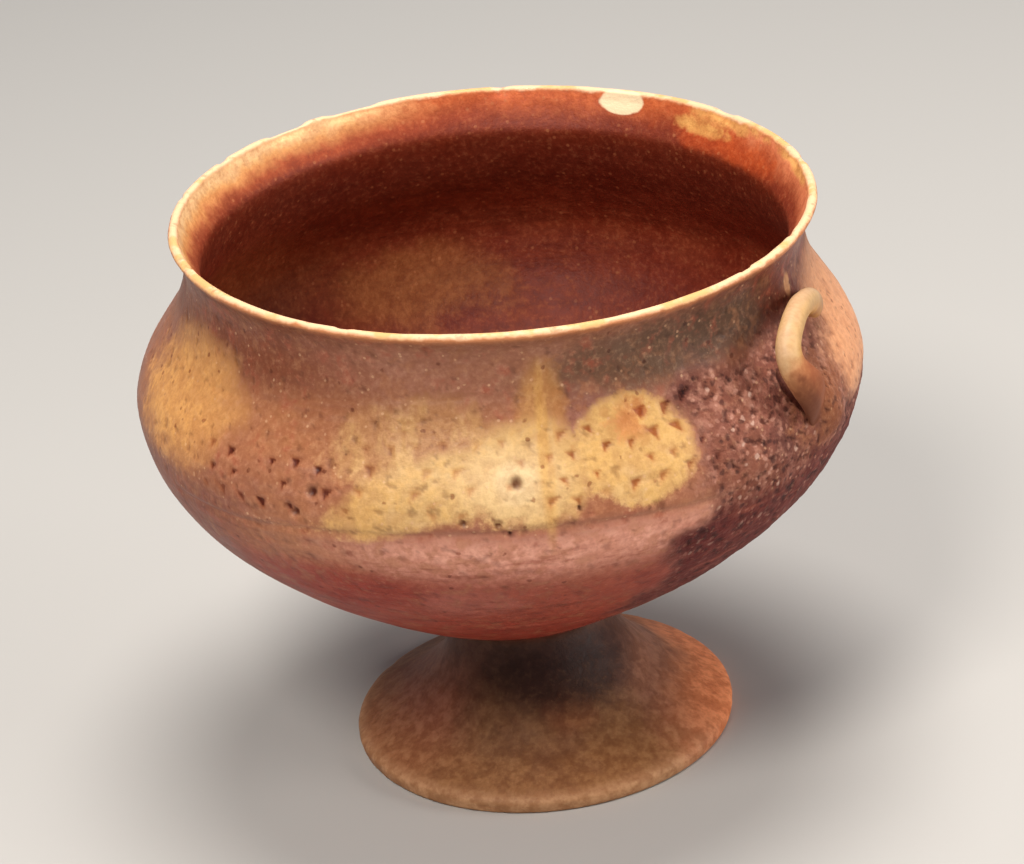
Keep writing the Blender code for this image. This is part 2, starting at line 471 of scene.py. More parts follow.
def interface(tree, sockets):
    """Named inputs of a geometry tree: its geometry, their values by name, and its way out."""
    tree.interface.new_socket("Geometry", in_out="INPUT", socket_type="NodeSocketGeometry")
    for name, kind, default in sockets:
        made = tree.interface.new_socket(name, in_out="INPUT", socket_type="NodeSocket" + kind)
        made.default_value = default
    tree.interface.new_socket("Geometry", in_out="OUTPUT", socket_type="NodeSocketGeometry")
    enter = node(tree, "NodeGroupInput")
    given = {socket.name: Value(tree, socket) for socket in enter.outputs if socket.name}
    return enter.outputs["Geometry"], given, node(tree, "NodeGroupOutput")


def parts(tree, vector):
    """The three numbers of a vector."""
    split = node(tree, "ShaderNodeSeparateXYZ", {0: vector})
    return [Value(tree, output) for output in split.outputs]


def stored(tree, name):
    made = node(tree, "GeometryNodeInputNamedAttribute", {"Name": name}, data_type="FLOAT")
    return Value(tree, made.outputs[0])


def keep_value(tree, geometry, name, value):
    made = node(tree, "GeometryNodeStoreNamedAttribute",
                {"Geometry": geometry, "Name": name, "Value": value},
                data_type="FLOAT", domain="POINT")
    return made.outputs[0]


def settled_place(tree, x, y, z, given):
    """Place of a point of the round form on the leaning cup, all in metres."""
    bowl = z.ramp(given["Settle From"], given["Settle To"])
    lean = given["Lean"] * (1.0 - z / HEIGHT) * bowl
    shift = given["Foot Offset"] - lean
    made = node(tree, "ShaderNodeCombineXYZ",
                {0: x + shift, 1: y, 2: z - given["Dip"] * x * bowl})
    return made.outputs[0]


def shape_inputs(settings):
    return (
        ("Lean", "Float", settings.lean),
        ("Dip", "Float", DIP),
        ("Foot Offset", "Float", foot_offset()),
        ("Settle From", "Float", SETTLE_FROM),
        ("Settle To", "Float", SETTLE_TO),
    )


def finish_tree(tree, geometry, material, exit_node):
    """Realised instances and the finish at the end of a tree."""
    real = node(tree, "GeometryNodeRealizeInstances", {"Geometry": geometry})
    smooth = node(tree, "GeometryNodeSetShadeSmooth", {"Geometry": real.outputs[0]})
    dressed = node(tree, "GeometryNodeSetMaterial",
                   {"Geometry": smooth.outputs[0], "Material": material})
    tree.links.new(dressed.outputs[0], exit_node.inputs[0])


def chance(tree, number, seed, offset, low, high):
    """A number between low and high, drawn for a mark by its number and this draw's offset."""
    made = node(tree, "FunctionNodeRandomValue",
                {2: low, 3: high, 7: number + 0.5, 8: seed + offset + 0.5}, data_type="FLOAT")
    return Value(tree, made.outputs[1])


def pressed_clay_tree(settings, material):
    """Places the sheet of clay round the axis and presses the rows of marks into it."""
    tree = bpy.data.node_groups.new("Pressed clay body", "GeometryNodeTree")
    geometry, given, leave = interface(tree, shape_inputs(settings) + (
        ("Mark Depth", "Float", settings.mark_depth),
        ("Mark Size", "Float", settings.mark_size),
        ("Mark Gap", "Float", settings.mark_gap),
        ("Row Gap", "Float", settings.row_gap),
        ("First Row", "Float", settings.first_row),
        ("Rows", "Float", 4.0),
        ("Row Slant", "Float", 0.0050),
        ("Seed", "Int", 11),
        ("Material", "Material", material),
    ))
    turn, reach, rise = (stored(tree, name) for name in ("turn", "reach", "rise"))
    radians = turn * DEGREE
    slanted = rise - given["Row Slant"] * radians.math("SINE")
    level = (slanted - given["First Row"]) / given["Row Gap"] + 0.5
    row = level.floor()
    odd = (row * 0.5).math("FRACT") * 2.0
    along = turn / given["Mark Gap"] + 0.31 + odd * 0.47
    cell = along.floor()
    half_way = 180.0 / given["Mark Gap"]
    number = row * 997.0 + cell.math("WRAP", half_way, -half_way)
    draw = partial(chance, tree, number, given["Seed"])
    aside = along - cell - 0.5 + draw(0, -0.17, 0.17)
    across = aside * given["Mark Gap"] * DEGREE * reach
    up = (level - row - 0.5) * given["Row Gap"] + draw(1, -0.0006, 0.0006)
    tilted = across + up * draw(2, -0.8, 0.8)
    half = given["Mark Size"] * draw(3, 0.32, 0.56)
    wedge = up.larger(abs(tilted) * 0.87 - up * 0.5) - half
    pressed = (wedge / given["Mark Size"]).ramp(0.16, -0.34)
    in_rows = row.math("GREATER_THAN", -0.5) * row.math("LESS_THAN", given["Rows"] - 0.5)
    left = turn.ramp(-56.0, -50.0) * turn.ramp(-22.0, -30.0)
    left = left * row.math("LESS_THAN", 2.5)
    middle = turn.ramp(-30.0, -22.0) * turn.ramp(8.0, 3.0) * 0.5
    right = turn.ramp(3.0, 9.0) * turn.ramp(36.0, 30.0)
    behind = abs(turn).ramp(104.0, 114.0) * 0.6
    kept = draw(4, 0.0, 1.0).ramp(0.06, 0.5)
    outside = stored(tree, "arc").math("LESS_THAN", -8.0)
    strength = (left + middle + right + behind) * kept * in_rows * outside
    mark_and_shade = pressed * strength
    sunk = stored(tree, "sink") + mark_and_shade * given["Mark Depth"]
    radius = reach - stored(tree, "out_reach") * sunk
    height = rise - stored(tree, "out_rise") * sunk
    place = settled_place(tree, radius * radians.math("SINE"),
                          -(radius * radians.math("COSINE")), height, given)
    # Kept for the finish, which darkens the marks with it as painted shade.
    kept_mark = keep_value(tree, geometry, "mark_and_shade", mark_and_shade)
    moved = node(tree, "GeometryNodeSetPosition",
                 {"Geometry": kept_mark, "Position": place})
    finish_tree(tree, moved.outputs[0], given["Material"], leave)
    return tree


# Lines scored or rubbed into the shoulder, as turns in degrees and heights in centimetres
GROOVE = ((-62, 10.75), (-45, 10.92), (-33, 11.20), (-23, 11.33), (-14, 11.41), (-5, 11.46),
          (3.4, 11.51), (12, 11.44), (21.5, 11.34), (28, 11.25), (36, 11.15))
UPPER_LINE = ((-58, 13.75), (-48, 13.89), (-33, 14.37), (-18.5, 14.61), (-4.8, 14.68), (3, 14.60))
SHORT_STROKE = ((-18.5, 14.61), (-17.8, 13.46))
RIB = ((6.9, 15.3), (6.4, 14.5), (5.6, 13.4), (4.5, 12.3), (3.4, 11.5))
BURNISH = (((-24, 15.12), (-15, 15.27), (-4.8, 14.95)), ((-12, 15.0), (2, 14.86)),
           ((12, 15.25), (30, 15.05)))
SCRATCH = ((19.7, 12.3), (22.5, 12.28))
# How they lie: line, depth and half width, then how far the stroke is moved in turn and height
STROKES = (
    (GROOVE, 0.42, 1.5, 0.0, 0.0),
    (GROOVE, -0.12, 2.0, 0.0, -2.0),
    (UPPER_LINE, 0.26, 1.1, 0.0, 0.0),
    (SHORT_STROKE, 0.24, 1.0, 0.0, 0.0),
    (RIB, 0.34, 1.3, 0.0, 0.0),
    (RIB, -0.16, 1.6, 1.4, 0.0),
    (SCRATCH, 0.30, 0.8, 0.0, 0.0),
) + tuple((line, 0.14, 1.0, 0.0, 0.0) for line in BURNISH)
DIMPLE = (0.4, 12.70)
# Round holes: turn, height in centimetres, radius in millimetres
HOLES = ((-7.6, 11.80, 1.3), (-2.6, 11.72, 1.2), (-0.9, 11.42, 1.1), (-33.9, 11.70, 1.7),
         (-31.4, 12.29, 2.0), (9.5, 11.95, 0.9))
# Chips of the lip: turn and half width in degrees, depth in millimetres
LIP_CHIPS = ((-139.0, 5.5, 0.9), (-154.0, 6.5, 0.7), (-121.0, 2.4, 0.5), (127.0, 2.6, 0.5),
             (99.0, 2.2, 0.4), (-28.0, 1.3, 0.3), (47.0, 1.5, 0.35), (64.0, 1.2, 0.3),
             (-70.0, 1.6, 0.35), (176.0, 2.0, 0.45), (-104.0, 1.4, 0.35))
FLARE_CHIP = (151.2, 5.0)
# Clay smeared on at the handle roots: turn from the handle, height, half sizes, thickness
ROOT_MOUNDS = ((-5.0, 128.5, 6.5, 5.5, 2.0), (-3.4, 123.0, 8.5, 6.5, 2.3),
               (-1.4, 116.5, 9.5, 7.5, 1.8), (0.6, 110.5, 9.0, 8.0, 0.8),
               (8.6, 140.2, 4.6, 4.2, 1.0))
# Crease beside the lower root, as turns from the handle and heights in centimetres; the finish
# darkens it as painted shadow
ROOT_CREASE = ((-9.2, 13.3), (-9.3, 13.05), (-8.9, 12.8), (-8.1, 12.5), (-6.8, 12.15))
PIT_DEPTH = 1.25
CREASE_DEPTH = 1.2


def rough_share(turn, rise):
    """Where the right shoulder has lost its burnish, from 0 to 1."""
    edge = 29.5 - 4.0 * smooth_share(rise, 114.0, 100.0) - 3.0 * smooth_share(rise, 92.0, 76.0)
    far = 62.0 + 44.0 * smooth_share(rise, 122.0, 104.0)
    across = window(turn, edge - 2.0, edge + 5.0, far - 6.0, far + 8.0)
    return across * window(rise, 52.0, 76.0, 141.0, 148.0)


def dents(turn, rise, reach, arc, under, places):
    """Depth in millimetres below the true form, with the pit share, which the finish also darkens
    as painted shade, and the rough share.
    """
    outer = smooth_share(arc, -2.0, -7.0)
    inner = smooth_share(arc, 2.0, 7.0)
    lip = 1.0 - smooth_share(np.abs(arc), 2.2, 4.5)
    bowl = smooth_share(rise, 36.0, 60.0)
    broad = grain(places, 44.0, 1, 2)
    middle = grain(places, 15.0, 2, 2)
    fine = grain(places, 3.4, 3, 3)
    sink = 0.26 + 0.14 * broad + 0.07 * middle + 0.025 * fine
    face = outer * bowl
    for line, deep, half, aside, above in STROKES:
        sink += face * deep * stroke_depth(turn + aside, rise + above, line, half)
    # Share of the pits: it deepens the dents, and the finish darkens it as painted shade.
    pit_and_shade = face * 0.9 * spot_depth(turn, rise, DIMPLE, 2.3)
    sink -= face * 0.16 * spot_depth(turn, rise, DIMPLE, 4.4)
    for at, high, radius in HOLES:
        pit_and_shade = np.maximum(pit_and_shade, face * spot_depth(turn, rise, (at, high), radius))
    sink += PIT_DEPTH * pit_and_shade
    rough = outer * rough_share(turn + 7.0 * middle, rise + 9.0 * broad)
    crumbs = grain(places, 1.9, 4, 2)
    sink += rough * (0.12 + 0.26 * middle + 0.50 * np.maximum(crumbs, 0.0) + 0.20 * fine)
    pit_and_shade = np.maximum(pit_and_shade, rough * 0.8 * smooth_share(crumbs, 0.22, 0.5))
    loose = smooth_share(grain(places, 2.8, 6, 2), 0.44, 0.62) * (1.0 - rough) * bowl
    sink += outer * 0.16 * loose
    pit_and_shade = np.maximum(pit_and_shade, outer * loose * 0.4)
    for at, half, deep in LIP_CHIPS:
        away = np.abs(turned_from(turn, at)) + 1.2 * middle
        sink += lip * deep * (1.0 - smooth_share(away, half * 0.6, half))
    away = np.abs(turned_from(turn, FLARE_CHIP[0]))
    chipped = 1.0 - smooth_share(away, FLARE_CHIP[1] * 0.7, FLARE_CHIP[1])
    sink += 0.45 * chipped * window(arc, -0.6, 0.4, 4.8, 6.0)
    sink += lip * 0.14 * np.maximum(grain(places, 6.0, 7, 2), 0.0)
    finger = np.sin(rise / 2.7 + 2.2 * broad + np.radians(turn) * 0.6)
    sink += inner * (0.10 * finger + 0.06 * middle)
    foot = (1.0 - bowl) * (arc > under)
    edge = foot * (1.0 - smooth_share(rise, 3.0, 7.0))
    sink += edge * 0.35 * smooth_share(grain(places, 7.0, 8, 2), 0.1, 0.5)
    for middle_turn in HANDLE_TURNS:
        for turned, high, across, upwards, deep in ROOT_MOUNDS:
            away = turned_from(turn, middle_turn + turned) * DEGREE * reach
            gap = np.hypot(away / across, (rise - high) / upwards)
            sink -= outer * deep * np.exp(-gap ** 2 * 1.4)
        crease = outer * stroke_depth(turned_from(turn, middle_turn), rise, ROOT_CREASE, 2.0)
        sink += CREASE_DEPTH * crease
        # The crease joins the pit share, so the finish darkens it as painted shadow.
        pit_and_shade = np.maximum(pit_and_shade, crease)
    stand = 1.0 - smooth_share(rise, 0.2, 1.2)
    sink = sink * (1.0 - stand) + 0.02 * stand
    return sink, pit_and_shade, rough


def keep_numbers(mesh, kept):
    for name, values in kept.items():
        made = mesh.attributes.new(name, "FLOAT", "POINT")
        made.data.foreach_set("value", np.asarray(values, np.float32))


def clay_sheet():
    """Mesh of the whole wall with its place and its dents kept as attributes."""
    rows, out, arc, under = section_rows()
    counts = [columns_round(a, z, under) for a, z in zip(arc, rows[:, 1])]
    starts, turns, start = [], [], 0
    for (count, front), (radius, rise) in zip(counts, rows):
        around = column_turns(count, front) if radius > 0.5 else np.array([0.0])
        starts.append(start)
        turns.append(around)
        start += len(around)
    faces = []
    for index in range(len(rows) - 1):
        low, high = (
            list(range(starts[k], starts[k] + len(turns[k]))) for k in (index, index + 1)
        )
        if len(low) == 1:
            faces += [(low[0], high[i], high[(i + 1) % len(high)]) for i in range(len(high))]
        elif len(high) == 1:
            faces += [(low[i], high[0], low[(i + 1) % len(low)]) for i in range(len(low))]
        else:
            faces += zip_rows(low, high, turns[index], turns[index + 1])
    length = [len(around) for around in turns]
    turn = np.concatenate(turns)
    reach, rise = (np.repeat(rows[:, axis], length) for axis in (0, 1))
    path = np.repeat(arc, length)
    out_reach, out_rise = (np.repeat(out[:, axis], length) for axis in (0, 1))
    places = np.stack([reach * np.sin(np.radians(turn)), -reach * np.cos(np.radians(turn)),
                       rise], -1)
    sink, pit_and_shade, rough = dents(turn, rise, reach, path, under, places)
    mesh = bpy.data.meshes.new("cup_body")
    mesh.from_pydata(places / MM, [], faces)
    keep_numbers(mesh, {"turn": turn, "reach": reach / MM, "rise": rise / MM, "arc": path,
                        "out_reach": out_reach, "out_rise": out_rise, "sink": sink / MM,
                        "pit_and_shade": pit_and_shade, "rough": rough})
    return mesh


def through_tree(name, mesh, tree, values, spare):
    """The mesh as the tree makes it, as a plain piece with outward faces."""
    piece = bpy.data.objects.new(name, mesh)
    bpy.context.scene.collection.objects.link(piece)
    modifier = piece.modifiers.new(tree.name, "NODES")
    modifier.node_group = tree
    for item in tree.interface.items_tree:
        if item.in_out == "INPUT" and item.name in values:
            modifier[item.identifier] = values[item.name]
    bpy.context.view_layer.update()
    evaluated = piece.evaluated_get(bpy.context.evaluated_depsgraph_get())
    plain = bpy.data.meshes.new_from_object(evaluated)
    piece.modifiers.clear()
    piece.data = plain
    plain.name = name
    built = bmesh.new()
    built.from_mesh(plain)
    bmesh.ops.remove_doubles(built, verts=built.verts, dist=1e-6)
    bmesh.ops.recalc_face_normals(built, faces=built.faces)
    built.to_mesh(plain)
    built.free()
    for unused in spare:
        if unused in plain.attributes:
            plain.attributes.remove(plain.attributes[unused])
    if not plain.polygons:
        raise RuntimeError("no faces came out for " + name)
    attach(piece, "root")
    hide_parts("cup")
    return piece


def handle_path(middle_turn):
    """Line along the middle of a handle, with its half widths kept at its points."""
    mesh = bpy.data.meshes.new("handle path")
    points, wide, deep = [], [], []
    for up, turn, reach, width, depth in HANDLE_PATH:
        rise = BELLY_HEIGHT + (NECK_HEIGHT - BELLY_HEIGHT) * up
        radius = float(outer_radius(rise)) + HANDLE_REACH * reach
        angle = math.radians(middle_turn + turn)
        points.append((radius * math.sin(angle), -radius * math.cos(angle), rise))
        wide.append(width * HANDLE_THICKNESS / 2.0)
        deep.append(depth * HANDLE_THICKNESS / 2.0)
    mesh.from_pydata(points, [(i, i + 1) for i in range(len(points) - 1)], [])
    keep_numbers(mesh, {"wide": wide, "deep": deep})
    return mesh


def loop_handle_tree(settings, material):
    """A band of oval section along a path, pinched off at its two buried ends."""
    tree = bpy.data.node_groups.new("Loop handle", "GeometryNodeTree")
    geometry, given, leave = interface(tree, shape_inputs(settings) + (
        ("Outwards", "Vector", (0.0, -1.0, 0.0)),
        ("Sides", "Int", 40),
        ("Stations", "Int", 150),
        ("Unevenness", "Float", 0.00022),
        ("Root Spread", "Float", -0.10),
        ("Root Thinning", "Float", 0.62),
        ("Root Sink", "Float", 0.0034),
        ("Seed", "Float", 3.0),
        ("Material", "Material", material),
    ))
    line = node(tree, "GeometryNodeMeshToCurve", {0: geometry})
    spline = node(tree, "GeometryNodeCurveSplineType", {0: line.outputs[0]},
                  spline_type="CATMULL_ROM")
    path = node(tree, "GeometryNodeResampleCurve",
                {"Curve": spline.outputs[0], "Count": 200})
    grid = node(tree, "GeometryNodeMeshGrid",
                {0: 1.0, 1: 1.0, 2: given["Stations"], 3: given["Sides"]})
    length, girth, _ = parts(tree, node(tree, "GeometryNodeInputPosition").outputs[0])
    share = (length + 0.5).clamped()
    angle = (girth + 0.5) * (2.0 * math.pi)
    sampled = {}
    for name in ("wide", "deep"):
        sampled[name] = node(tree, "GeometryNodeSampleCurve",
                             {"Curves": path.outputs[0], "Factor": share,
                              1: stored(tree, name)}, mode="FACTOR", data_type="FLOAT")
    place, tangent = sampled["wide"].outputs["Position"], sampled["wide"].outputs["Tangent"]
    closing = share.ramp(0.0, 0.03).math("SQRT") * share.ramp(1.0, 0.97).math("SQRT")
    spread = share.ramp(0.66, 0.95)
    wide, deep = (Value(tree, made.outputs[0]) * closing for made in sampled.values())
    wide = wide * (spread * given["Root Spread"] + 1.15)
    deep = deep * (1.0 - spread * given["Root Thinning"])

    def vector(operation, *terms, scale=None):
        sockets = dict(enumerate(terms))
        if scale is not None:
            sockets["Scale"] = scale
        return node(tree, "ShaderNodeVectorMath", sockets, operation=operation).outputs[0]

    side = vector("NORMALIZE", vector("CROSS_PRODUCT", tangent, given["Outwards"]))
    across = vector("CROSS_PRODUCT", tangent, side)
    rim = vector("ADD", vector("SCALE", side, scale=angle.math("COSINE") * wide),
                 vector("SCALE", across, scale=angle.math("SINE") * deep))
    sinking = spread * (1.0 - share.ramp(0.84, 1.0) * 0.85) * given["Root Sink"]
    sunk = vector("SCALE", given["Outwards"], scale=-sinking)
    raw = vector("ADD", vector("ADD", place, sunk), rim)
    uneven = node(tree, "ShaderNodeTexNoise",
                  {"Vector": raw, "W": given["Seed"], "Scale": 150.0, "Detail": 2.0},
                  noise_dimensions="4D")
    lump = (Value(tree, uneven.outputs[0]) - 0.5) * given["Unevenness"] * 2.0
    away = vector("SCALE", vector("NORMALIZE", rim), scale=lump * closing)
    x, y, z = parts(tree, vector("ADD", raw, away))
    kept = keep_value(tree, grid.outputs["Mesh"], "along", share)
    kept = keep_value(tree, kept, "edge", angle.math("COSINE"))
    moved = node(tree, "GeometryNodeSetPosition",
                 {"Geometry": kept, "Position": settled_place(tree, x, y, z, given)})
    merged = node(tree, "GeometryNodeMergeByDistance",
                  {"Geometry": moved.outputs[0], "Distance": 0.000002})
    finish_tree(tree, merged.outputs[0], given["Material"], leave)
    return tree


def pigment(red, green, blue):
    """A colour given in display values of 0 to 255, as the linear colour that shaders take."""
    return tuple(
        (part / 12.92 if part <= 0.04045 else ((part + 0.055) / 1.055) ** 2.4)
        for part in (red / 255.0, green / 255.0, blue / 255.0)
    )


class Coat:
    """Colour of the clay, covered by one coat after another where each one's mask is 1."""

    def __init__(self, tree, colour):
        self.tree = tree
        self.socket = node(tree, "ShaderNodeRGB").outputs[0]
        self.socket.default_value = (*colour, 1.0)

    def cover(self, colour, mask, blend="MIX"):
        colour = colour.socket if isinstance(colour, Coat) else (*colour, 1.0)
        made = node(self.tree, "ShaderNodeMix", {0: mask, 6: self.socket, 7: colour},
                    data_type="RGBA", blend_type=blend)
        self.socket = made.outputs[2]

    def paint(self, red, green, blue, mask):
        """A coat whose colour is given in display values of 0 to 255."""
        self.cover(pigment(red, green, blue), mask)

    def darken(self, red, green, blue, mask):
        """The colour so far, multiplied by another one where the mask is 1: stains and tone, and
        painted shade in the marks, pits and crease.
        """
        self.cover(pigment(red, green, blue), mask, "MULTIPLY")


def noise_value(tree, place, scale, detail, roughness):
    made = node(tree, "ShaderNodeTexNoise",
                {"Vector": place, "Scale": scale, "Detail": detail, "Roughness": roughness})
    return Value(tree, made.outputs[0])


def flecks(tree, place, scale, size, share):
    """1 in round grains scattered over the clay; share is how many of the places hold one."""
    made = node(tree, "ShaderNodeTexVoronoi", {"Vector": place, "Scale": scale})
    chosen = node(tree, "ShaderNodeSeparateColor", {0: made.outputs["Color"]})
    dot = Value(tree, made.outputs["Distance"]).ramp(size, size * 0.5)
    return dot * Value(tree, chosen.outputs[0]).math("LESS_THAN", share)


def blot(turn, rise, centre_turn, centre_rise, half_turn, half_rise, soft=0.3, slope=0.0):
    """1 inside an oval stain at a turn in degrees and height in centimetres, 0 outside."""
    across = (turn - centre_turn) / half_turn
    up = (rise - centre_rise - (turn - centre_turn) * slope) / half_rise
    return (across * across + up * up).ramp(1.0 + soft, 1.0 - soft)


def frayed(value, noises, *widths):
    """A value made ragged: how far the clouds, stains, mottling and grains move it."""
    for cause, width in zip(noises, widths):
        if width:
            value = value + (cause - 0.5) * width
    return value


def cup_coordinates(tree):
    """Place in metres, and turn in degrees and height in centimetres on the round form."""
    place = node(tree, "ShaderNodeTexCoord").outputs["Object"]
    x, y, z = parts(tree, place)
    bowl = z.ramp(SETTLE_FROM, SETTLE_TO)
    rise = z + x * bowl * DIP
    true_x = x - foot_offset() + (1.0 - rise / HEIGHT) * bowl * LEAN
    turn = true_x.math("ARCTAN2", -y) * (1.0 / DEGREE)
    return place, turn, rise * 100.0


def new_finish(name):
    material = bpy.data.materials.new(name)
    material.use_nodes = True
    material.node_tree.nodes.clear()
    return material


def kept_numbers(tree, *names):
    """Numbers that the mesh keeps at its points."""
    for name in names:
        made = node(tree, "ShaderNodeAttribute", attribute_name=name)
        yield Value(tree, made.outputs["Fac"])


def principled(tree, colour, roughness, bump_height, bump_distance):
    """Surface of the clay from its colour, its roughness and its fine relief."""
    bump = node(tree, "ShaderNodeBump",
                {"Strength": 1.0, "Distance": bump_distance, "Height": bump_height})
    shader = node(tree, "ShaderNodeBsdfPrincipled",
                  {"Base Color": colour, "Roughness": roughness, "Normal": bump.outputs[0],
                   "IOR": 1.45, "Specular IOR Level": 0.32})
    leave = node(tree, "ShaderNodeOutputMaterial")
    tree.links.new(shader.outputs[0], leave.inputs[0])


def surface_noises(tree, place):
    """Clouds, stains, mottling, grains and dust of the clay, from coarse to fine."""
    sizes = ((22.0, 4.0, 0.6), (75.0, 4.0, 0.6), (240.0, 3.0, 0.6), (620.0, 3.0, 0.65),
             (1500.0, 2.0, 0.6))
    return [noise_value(tree, place, *size) for size in sizes]


def stretched(tree, place, up):
    """Place with its height drawn together, so that a noise on it lies in level strokes."""
    return node(tree, "ShaderNodeVectorMath", {0: place, 1: (1.0, 1.0, up)},
                operation="MULTIPLY").outputs[0]


def turned_strokes(tree, place):
    """Place turned and drawn together, so that a noise on it lies in slanting strokes."""
    turned = node(tree, "ShaderNodeMapping",
                  {0: place, "Rotation": (0.25, 0.5, 0.0), "Scale": (1.0, 1.0, 6.0)},
                  vector_type="POINT")
    return turned.outputs[0]


class Wall(Coat):
    """Coats on the outside of the bowl, with the ragged places that they share."""

    def __init__(self, tree, colour, place, turn, rise, noises):
        super().__init__(tree, colour)
        self.place, self.turn, self.rise, self.noises = place, turn, rise, noises
        self.ragged_turn = frayed(turn, noises, 0, 16, 7, 4)
        self.ragged_rise = frayed(rise, noises, 0.8, 0, 0.45, 0.3)
        # Fades what lies on one side only before it meets itself at the back
        self.fore = abs(turn).ramp(164, 112)

    def spot(self, *oval):
        """1 inside an oval with a ragged edge."""
        return blot(self.ragged_turn, self.ragged_rise, *oval)


def ground_coats(wall):
    """Uneven burnish of the whole outside."""
    cloud, stain, _, _, _, streak = wall.noises
    wall.paint(196, 136, 96, (cloud * 0.5 + stain * 0.5).ramp(0.40, 0.62) * 0.8)
    wall.paint(186, 124, 76, wall.spot(-26, 13.9, 26, 1, 0.9) * 0.5)
    wall.paint(156, 108, 92, streak.ramp(0.46, 0.68) * 0.4)


def belly_coats(wall):
    """Pink band under the groove and the reds of the lower belly, made darker and redder downwards
    as painted shade and a painted red reflection.
    """
    paint, spot, turn, rise = wall.paint, wall.spot, wall.ragged_turn, wall.ragged_rise
    band = blot(wall.turn, wall.rise, 4, 10.8, 30, 1.1, 0.95)
    paint(242, 176, 152, rise.ramp(11.6, 10.9) * band * 0.95)
    # Darker and redder downwards: painted shade and a painted red reflection over the lower belly's
    # own reds.
    paint(168, 68, 48, rise.ramp(10.8, 9) * 0.9)
    paint(156, 46, 34, rise.ramp(9.2, 6.6) * 0.9)
    paint(118, 32, 30, turn.ramp(14, 42) * wall.fore * rise.ramp(11, 9.4) * 0.9)
    paint(138, 66, 46, turn.ramp(-38, -56) * wall.fore * rise.ramp(12.1, 11.1) * 0.8)
    paint(160, 42, 22, spot(-31, 9.1, 15, 1, 0.8) * 0.8)
    paint(200, 126, 112, spot(-8, 8.8, 8, 0.6, 0.9) * 0.4)


def neck_coats(wall):
    """Browns of the neck, darker towards both sides, and the mottling over everything."""
    paint, spot, turn = wall.paint, wall.spot, wall.ragged_turn
    _, stain, mottle, *_ = wall.noises
    neck = wall.ragged_rise.ramp(13.8, 14.9)
    paint(164, 114, 92, neck * 0.8)
    paint(130, 66, 38, neck * turn.ramp(-18, -46) * wall.fore * 0.85)
    paint(104, 54, 42, neck * turn.ramp(28, 46) * wall.fore * 0.85)
    paint(124, 54, 38, neck * turn.ramp(44, 58) * wall.fore * 0.8)
    paint(92, 72, 54, spot(30, 15.1, 25, 0.85, 0.9) * 0.85)
    paint(150, 104, 92, spot(12, 13.9, 4, 0.8, 0.9) * 0.6)
    paint(160, 76, 52, mottle.ramp(0.46, 0.7) * stain.ramp(0.40, 0.6) * 0.6)
    paint(206, 150, 110, mottle.ramp(0.54, 0.34) * stain.ramp(0.60, 0.4) * 0.4)


def ochre_coats(wall):
    """Ochre patch at the left, and the glow and the tongue above the cream patch."""
    paint, spot = wall.paint, wall.spot
    _, _, mottle, *_ = wall.noises
    ochre = spot(-66, 13.3, 15, 1.45, 0.8)
    paint(234, 176, 106, ochre * 0.9)
    paint(216, 148, 76, ochre * mottle.ramp(0.42, 0.64) * 0.4)
    glow = spot(-17, 13.7, 12, 0.8, 0.95, 0.03)
    paint(208, 160, 104, glow * 0.6)
    upright = noise_value(wall.tree, stretched(wall.tree, wall.place, 0.28), 120, 3, 0.6)
    paint(226, 184, 120, glow * upright.ramp(0.44, 0.62) * 0.7)
    wavy_turn = frayed(wall.turn, wall.noises, 0, 4, 3)
    tongue = blot(wavy_turn, wall.ragged_rise, 5.4, 14.4, 3.6, 1.1, 0.95)
    paint(206, 152, 88, tongue * (upright * 0.7 + 0.5).clamped() * 0.85)


def cream_coats(wall, slip):
    """Worn cream patch on the front; gives back where it lies."""
    paint, turn, rise = wall.paint, wall.turn, wall.rise
    _, stain, mottle, *_ = wall.noises
    soft_turn = frayed(turn, wall.noises, 0, 12, 5, 3)
    lobe_turn = frayed(turn, wall.noises, 0, 0, 5)
    cream = blot(soft_turn, wall.ragged_rise, -12, 12.45, 16, 0.86, 0.5, 0.047)
    cream = cream.larger(blot(soft_turn, wall.ragged_rise, 1.5, 12.8, 10.5, 1.2, 0.5))
    cream = cream.larger(blot(lobe_turn, wall.ragged_rise, 19.3, 13, 9.9, 1.25, 0.25))
    cream = cream * (mottle * 0.3 + 0.84).clamped()
    wall.cover(slip, cream * 0.95)
    paint(222, 166, 90, cream * mottle.ramp(0.42, 0.66) * 0.4)
    paint(206, 146, 84, cream * (stain * 0.5 + mottle * 0.5).ramp(0.44, 0.34) * 0.5)
    paint(240, 212, 162, cream * stain.ramp(0.54, 0.68) * 0.45)
    paint(218, 168, 96, cream * turn.ramp(6, 16) * 0.45)
    paint(214, 158, 92, cream * turn.ramp(-12, -26) * 0.5)
    paint(238, 206, 154, cream * blot(turn, rise, 0, 12.6, 8, 0.9, 0.9) * 0.6)
    paint(204, 118, 64, wall.spot(17.8, 13.65, 3.4, 0.4, 0.9) * 0.6)
    paint(224, 174, 98, blot(turn, rise, 5.2, 13.2, 1.1, 2, 0.9) * 0.6)
    paint(240, 214, 168, blot(turn, rise, *DIMPLE, 3.2, 0.5, 0.6) * 0.5)
    return cream


def back_coats(wall):
    """Stains that the photograph does not show, in keeping with the others."""
    behind_turn = wall.ragged_turn - wall.turn.math("SIGN") * 180
    behind = partial(blot, behind_turn, wall.ragged_rise)
    wall.paint(98, 66, 52, behind(-26, 12.9, 30, 2, 0.95) * 0.5)
    wall.paint(208, 158, 102, behind(34, 12.6, 20, 1.5, 0.9) * 0.65)
    wall.paint(214, 164, 106, behind(4, 13.6, 11, 1, 0.9) * 0.5)


